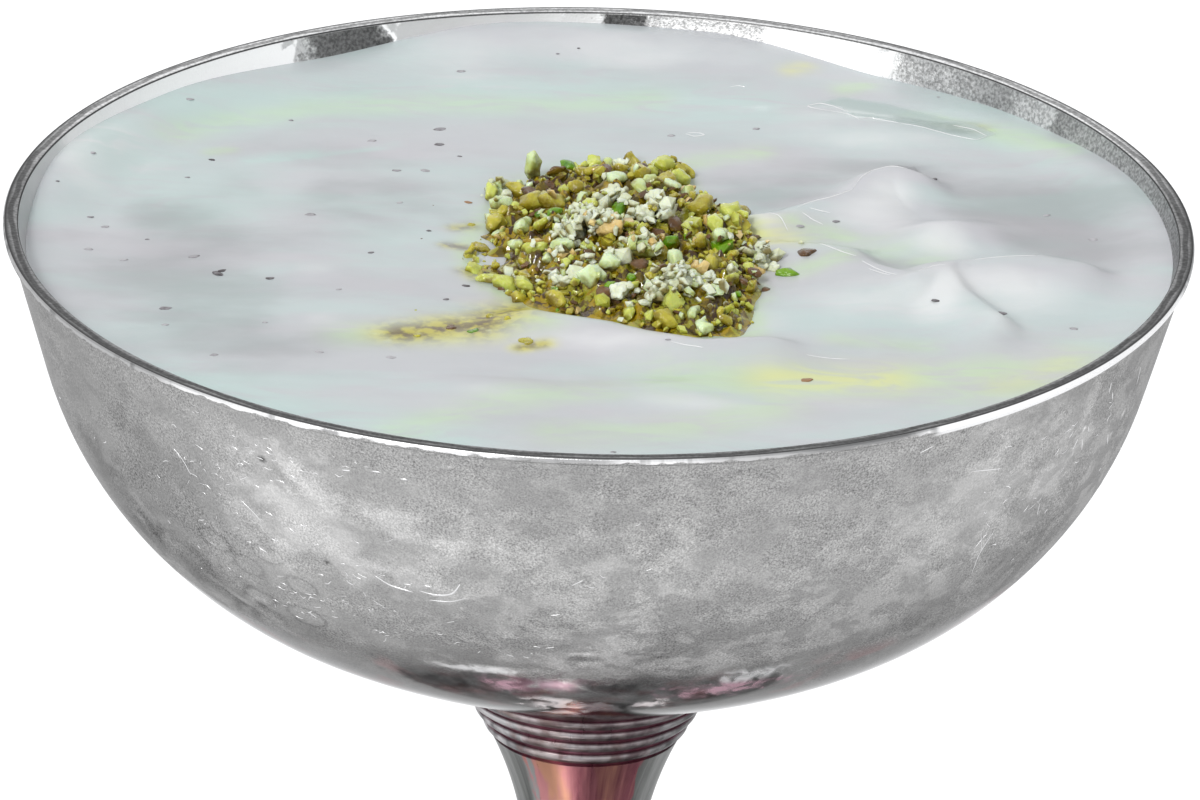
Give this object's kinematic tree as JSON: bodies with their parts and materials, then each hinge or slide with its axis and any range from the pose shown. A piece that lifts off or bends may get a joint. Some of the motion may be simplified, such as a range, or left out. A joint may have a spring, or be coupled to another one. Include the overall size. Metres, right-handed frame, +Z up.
{
  "type": "shrikhand in a footed metal dessert coupe",
  "caption": "Shrikhand, a smooth strained-yogurt dessert, filling a footed silver-coloured metal coupe and topped with a low mound of chopped pistachio.",
  "frame": {"origin": "on the table, under the coupe's axis, at the foot's base", "axes": "+Z up along the coupe's axis, -Y towards the picture's viewer, +X to the viewer's right"},
  "size_m": [0.1006, 0.1006, 0.0937],
  "materials": {
    "mottled_silver": "satin metal with frosty mottling and fine scratches",
    "worn_silver": "polished metal with a copper-rose tint where worn",
    "shrikhand_cream": "wet smooth cream with faint green and yellow streaks",
    "chopped_pistachio": "chopped nuts, pale green to amber, moist in places"
  },
  "bodies": {
    "root": {"coupe_bowl": "mottled_silver", "coupe_stem": "worn_silver", "shrikhand": "shrikhand_cream", "pistachio_topping": "chopped_pistachio"}
  },
  "joints": []
}
